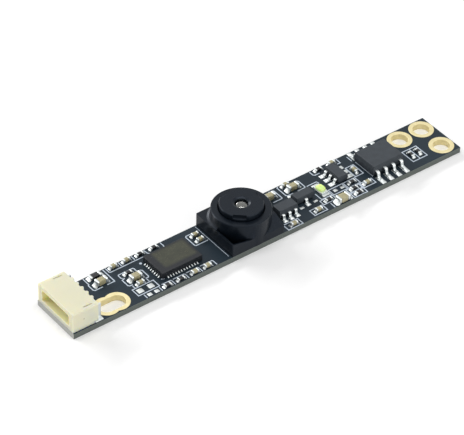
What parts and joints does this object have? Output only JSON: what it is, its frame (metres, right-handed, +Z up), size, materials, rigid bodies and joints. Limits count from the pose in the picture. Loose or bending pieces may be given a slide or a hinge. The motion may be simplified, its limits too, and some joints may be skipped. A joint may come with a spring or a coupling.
{
  "type": "strip camera module",
  "caption": "Long narrow circuit board with a glued lens holder near the middle, a side-entry plug connector at one end and plated mounting holes at the other.",
  "frame": {"origin": "middle of the board's underside", "axes": "+X along the board from the connector to the plated holes, +Y across it, +Z up through the lens"},
  "size_m": [0.06, 0.0076, 0.005],
  "materials": {
    "board_mask": "glossy dark solder mask",
    "gold_plating": "satin gold plating",
    "tin": "bright tin and solder",
    "cream_nylon": "glossy moulded",
    "black_moulding": "satin moulded",
    "chip_moulding": "fine matt moulded",
    "capacitor_ceramic": "fired ceramic",
    "resistor_coat": "glazed black",
    "lamp_white": "white laminate",
    "lamp_green": "clear tinted resin",
    "lens_glass": "coated",
    "filter_glass": "coated",
    "sensor_ceramic": "package",
    "white_ink": "printed"
  },
  "bodies": {
    "root": {"circuit_board": "board_mask", "end_hole_plating": "gold_plating", "keyhole_plating": "gold_plating", "bare_lands": "tin", "connector_contacts": "tin", "connector_fitting_nails": "tin", "connector_housing": "cream_nylon", "controller_pads": "tin", "controller_body": "chip_moulding", "memory_body": "chip_moulding", "memory_leads": "tin", "lens_side_regulator_body": "chip_moulding", "lens_side_regulator_leads": "tin", "right_regulator_body": "chip_moulding", "right_regulator_leads": "tin", "transistor_body": "chip_moulding", "transistor_leads": "tin", "lamp_base": "lamp_white", "lamp_terminals": "tin", "lamp_lens": "lamp_green", "small_capacitor_bodies": "capacitor_ceramic", "small_capacitor_terminals": "tin", "large_capacitor_bodies": "capacitor_ceramic", "large_capacitor_terminals": "tin", "wide_capacitor_bodies": "capacitor_ceramic", "wide_capacitor_terminals": "tin", "small_resistor_bodies": "resistor_coat", "small_resistor_terminals": "tin", "large_resistor_bodies": "resistor_coat", "large_resistor_terminals": "tin", "part_lands": "tin", "solder_fillets": "tin", "lens_holder": "black_moulding", "lens_barrel": "black_moulding", "front_lens": "lens_glass", "stop_ring": "black_moulding", "middle_lens": "lens_glass", "rear_lens": "lens_glass", "infrared_filter": "filter_glass", "sensor_package": "sensor_ceramic", "sensor_cover": "lens_glass", "printed_outlines": "white_ink"}
  },
  "joints": []
}
